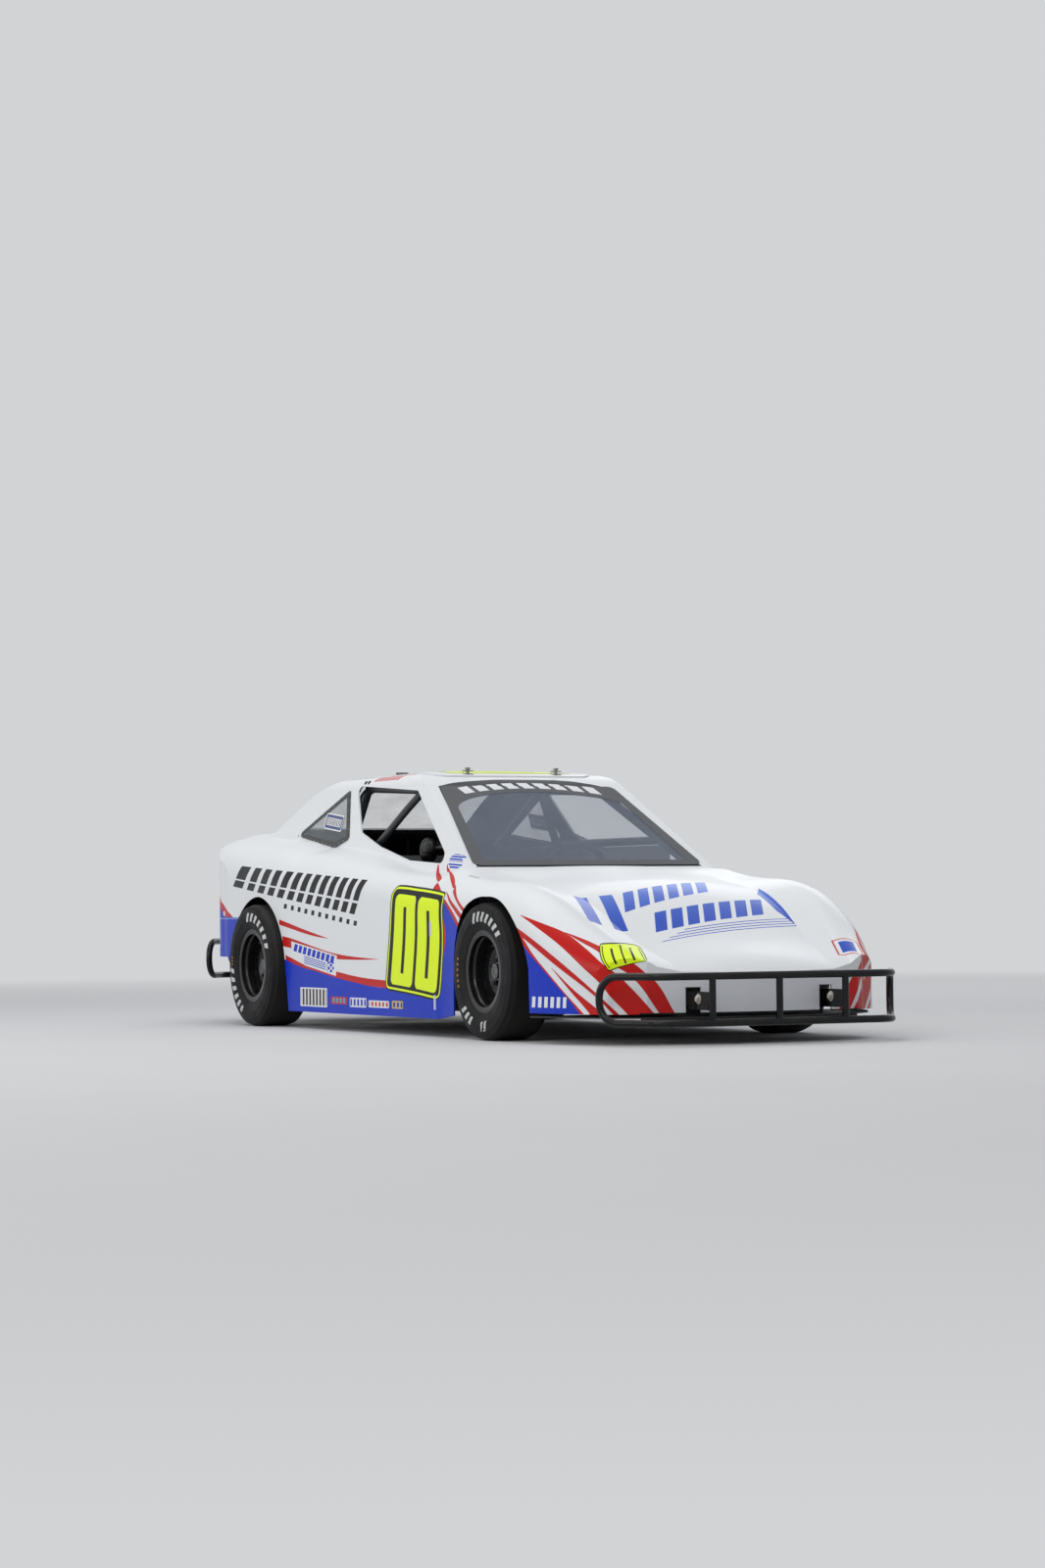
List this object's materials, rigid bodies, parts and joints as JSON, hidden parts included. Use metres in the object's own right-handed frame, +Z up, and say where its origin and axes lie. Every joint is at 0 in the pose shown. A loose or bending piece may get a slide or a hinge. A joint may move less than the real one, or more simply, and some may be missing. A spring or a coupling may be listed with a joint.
{
  "type": "miniature stock car",
  "caption": "Small tube-frame racing car with a moulded closed body, a hinged roof hatch, steered front wheels, a live rear axle and tube bumpers.",
  "frame": {"origin": "on the floor, under the centre of the whole car", "axes": "+X towards the nose, +Y to the car's left, +Z up"},
  "size_m": [3.798, 1.352, 0.983],
  "materials": {
    "body_paint": "gloss white moulded body with painted stripes",
    "windshield_sheet": "smoky clear sheet",
    "window_sheet": "clear sheet",
    "fitting_steel": "plated",
    "tyre": "smooth tread, matte",
    "wheel_black": "gloss black",
    "bare_steel": "machined",
    "frame_paint": "satin black",
    "cage_paint": "satin dark grey with padding",
    "damper": "satin",
    "bare_aluminium": "machined",
    "wheel_grip": "padded rim",
    "sheet_aluminium": "bare sheet",
    "splitter_plastic": "matte",
    "bumper_paint": "gloss black tube",
    "seat_shell": "dark coated sheet",
    "padding": "foam in black cloth",
    "dash_sheet": "satin black sheet",
    "engine_metal": "plain block",
    "fuel_cell_plastic": "plain block",
    "pod_plastic": "black"
  },
  "bodies": {
    "chassis": {"nose_clip": "body_paint", "roof_shell": "body_paint", "rear_clip": "body_paint", "side_panel_left": "body_paint", "side_panel_right": "body_paint", "windshield": "windshield_sheet", "rear_window": "window_sheet", "quarter_windows": "window_sheet", "hatch_hinges": "fitting_steel", "front_arms": "frame_paint", "rear_arms": "frame_paint", "front_coilovers": "damper", "rear_coilovers": "damper", "steering_housing": "bare_aluminium", "chassis_frame": "frame_paint", "roll_cage": "cage_paint", "floor_pan": "sheet_aluminium", "nose_splitter": "splitter_plastic", "front_bumper": "bumper_paint", "rear_bumper": "bumper_paint", "seat": "seat_shell", "seat_pad": "padding", "dash_panel": "dash_sheet", "sheet_panels": "sheet_aluminium", "engine_block": "engine_metal", "fuel_cell": "fuel_cell_plastic", "mirror_pod": "pod_plastic", "pedals": "bare_aluminium"},
    "hatch": {"roof_hatch": "body_paint", "hatch_fittings": "fitting_steel"},
    "knuckle_left": {"knuckle_left": "bare_steel"},
    "knuckle_right": {"knuckle_right": "bare_steel"},
    "wheel_front_left": {"tyre_front_left": "tyre", "wheel_front_left": "wheel_black", "hub_front_left": "bare_steel"},
    "wheel_front_right": {"tyre_front_right": "tyre", "wheel_front_right": "wheel_black", "hub_front_right": "bare_steel"},
    "rear_wheels": {"rear_axle": "bare_steel", "wheel_rear_left": "wheel_black", "wheel_rear_right": "wheel_black", "tyre_rear_left": "tyre", "tyre_rear_right": "tyre"},
    "rack": {"rack_bar": "bare_steel"},
    "steering_wheel": {"steering_wheel": "wheel_grip"}
  },
  "joints": [
    {"name": "hatch_hinge", "type": "hinge", "parent": "chassis", "child": "hatch", "pos_m": [-0.682, 0, 0.977], "axis": [0, -1, 0], "range_deg": [0, 75]},
    {"name": "steer_left", "type": "hinge", "parent": "chassis", "child": "knuckle_left", "pos_m": [0.929, 0.42, 0.237], "axis": [0, 0, 1], "range_deg": [-20, 20]},
    {"name": "steer_right", "type": "hinge", "parent": "chassis", "child": "knuckle_right", "pos_m": [0.929, -0.42, 0.237], "axis": [0, 0, 1], "range_deg": [-20, 20]},
    {"name": "rack_slide", "type": "slide", "parent": "chassis", "child": "rack", "axis": [0, 1, 0], "range_m": [-0.0285, 0.0285]},
    {"name": "steering_wheel_turn", "type": "hinge", "parent": "chassis", "child": "steering_wheel", "pos_m": [0.079, 0.15, 0.555], "axis": [-0.9142, 0, 0.4052], "range_deg": [-121, 121]},
    {"name": "front_left_spin", "type": "hinge", "parent": "knuckle_left", "child": "wheel_front_left", "pos_m": [0.929, 0.5455, 0.237], "axis": [0, 1, 0], "continuous": true},
    {"name": "front_right_spin", "type": "hinge", "parent": "knuckle_right", "child": "wheel_front_right", "pos_m": [0.929, -0.5455, 0.237], "axis": [0, 1, 0], "continuous": true},
    {"name": "rear_spin", "type": "hinge", "parent": "chassis", "child": "rear_wheels", "pos_m": [-1.103, 0, 0.237], "axis": [0, 1, 0], "continuous": true}
  ],
  "couplings": [
    {"joint": "steer_right", "follows": "steer_left", "ratio": 1},
    {"joint": "rack_slide", "follows": "steer_left", "m_per_rad": -0.0784},
    {"joint": "steering_wheel_turn", "follows": "steer_left", "ratio": 6}
  ]
}
